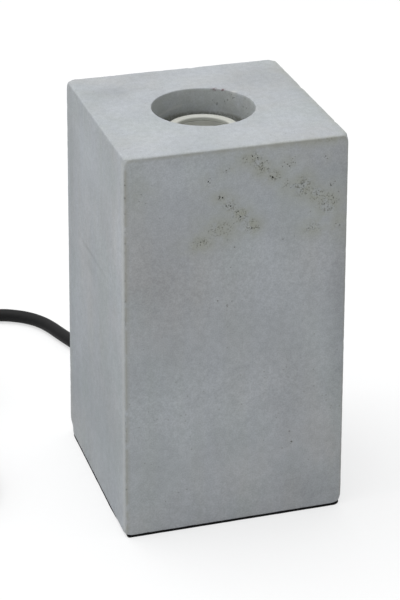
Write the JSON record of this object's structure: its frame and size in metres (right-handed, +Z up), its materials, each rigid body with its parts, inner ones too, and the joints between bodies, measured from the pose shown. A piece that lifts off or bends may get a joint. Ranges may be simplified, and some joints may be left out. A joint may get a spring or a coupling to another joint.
{
  "type": "table lamp base",
  "caption": "Square cast concrete table lamp base with a lampholder sunk in a round well, black pad, cord, inline rocker switch and flat plug",
  "frame": {"origin": "Bottom centre of the block's pad, on the surface the lamp stands on.", "axes": "+Z up through the lampholder. The wide front face looks to -Y. The cord leaves the middle of the +Y face near the floor and lies at the -X side."},
  "size_m": [0.262, 0.256, 0.2],
  "materials": {
    "concrete": "matte",
    "pad_rubber": "matte",
    "porcelain": "gloss",
    "shell_metal": "satin",
    "contact_brass": "satin",
    "steel_fixings": "satin",
    "cord_sheath": "satin",
    "core_brown": "satin",
    "core_blue": "satin",
    "switch_plastic": "satin",
    "rocker_plastic": "satin",
    "plug_plastic": "satin",
    "pin_nickel": "polished",
    "tie_strap": "matte"
  },
  "bodies": {
    "lamp": {"concrete_block": "concrete", "base_pad": "pad_rubber", "holder_skirt": "porcelain", "holder_cap": "porcelain", "holder_insert": "porcelain", "screw_shell": "shell_metal", "centre_contact": "contact_brass", "terminal_live": "contact_brass", "terminal_neutral": "contact_brass", "terminal_screw_live": "steel_fixings", "terminal_screw_neutral": "steel_fixings", "grub_screw": "steel_fixings", "threaded_tube": "steel_fixings", "well_washer": "steel_fixings", "hollow_washer": "steel_fixings", "tube_nut": "steel_fixings", "cord_inner": "cord_sheath", "core_live": "core_brown", "core_neutral": "core_blue", "cord_relief": "cord_sheath", "cord_lead": "cord_sheath", "switch_base": "switch_plastic", "switch_cover": "switch_plastic", "switch_screw_near": "steel_fixings", "switch_screw_far": "steel_fixings", "switch_terminal_near": "contact_brass", "switch_terminal_far": "contact_brass", "cord_run": "cord_sheath", "cord_coil": "cord_sheath", "cord_tie": "tie_strap", "cord_tail": "cord_sheath", "plug_body": "plug_plastic", "plug_pin_left": "pin_nickel", "plug_pin_right": "pin_nickel"},
    "rocker": {"switch_rocker": "rocker_plastic"}
  },
  "joints": [
    {"name": "switch_rock", "type": "hinge", "parent": "lamp", "child": "rocker", "pos_m": [-0.1105, 0.1165, 0.014], "axis": [1, 0, 0], "range_deg": [0, 16]}
  ]
}
